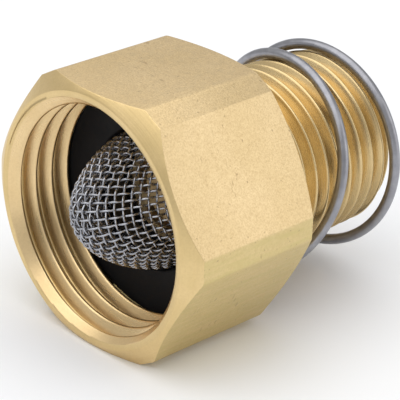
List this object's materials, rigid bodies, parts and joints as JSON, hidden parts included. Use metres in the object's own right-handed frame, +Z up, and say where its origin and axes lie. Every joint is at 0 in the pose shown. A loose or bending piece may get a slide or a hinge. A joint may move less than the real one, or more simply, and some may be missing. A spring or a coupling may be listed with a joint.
{
  "type": "water pressure regulator",
  "caption": "In-line brass hose water pressure regulator: hexagon swivel inlet nut with domed wire strainer, male pipe-thread outlet, sliding piston inside and a loose wire coil.",
  "frame": {"origin": "middle of the object's box, on the flat of the nut that it rests on", "axes": "+X along the water flow from inlet to outlet, +Z up, threads' axis 14.4 mm above the origin"},
  "size_m": [0.037, 0.0318, 0.0288],
  "materials": {
    "forged_brass": "blasted, slightly worn",
    "machined_brass": "turned",
    "wire_cloth": "bright woven wire",
    "steel_wire": "drawn wire",
    "spring_steel": "ground",
    "black_rubber": "matt",
    "acetal": "moulded",
    "black_acetal": "moulded"
  },
  "bodies": {
    "regulator_body": {"outlet_body": "machined_brass", "hose_washer": "black_rubber", "strainer_dome": "wire_cloth", "strainer_ferrule": "black_acetal", "cartridge_sleeve": "black_acetal", "front_sleeve_o_ring": "black_rubber", "rear_sleeve_o_ring": "black_rubber", "seat_spider": "machined_brass", "seat_pad": "black_rubber", "seat_screw": "machined_brass", "stem_o_ring": "black_rubber", "gland_washer": "spring_steel", "regulator_spring": "spring_steel", "outlet_snap_ring": "spring_steel"},
    "nut": {"swivel_nut": "forged_brass"},
    "piston_unit": {"piston": "acetal", "piston_o_ring": "black_rubber", "spring_washer": "spring_steel"},
    "coil": {"wire_coil": "steel_wire"}
  },
  "joints": [
    {"name": "nut_spin", "type": "hinge", "parent": "regulator_body", "child": "nut", "pos_m": [0, 0, 0.0144], "axis": [1, 0, 0], "continuous": true},
    {"name": "piston_slide", "type": "slide", "parent": "regulator_body", "child": "piston_unit", "axis": [-1, 0, 0], "range_m": [0, 0.0007], "stiffness_N_per_m": 5000, "springref_m": -0.008, "deforming": ["regulator_spring"]},
    {"name": "coil_turn", "type": "hinge", "parent": "regulator_body", "child": "coil", "pos_m": [0, 0, 0.0144], "axis": [1, 0, 0], "continuous": true}
  ]
}
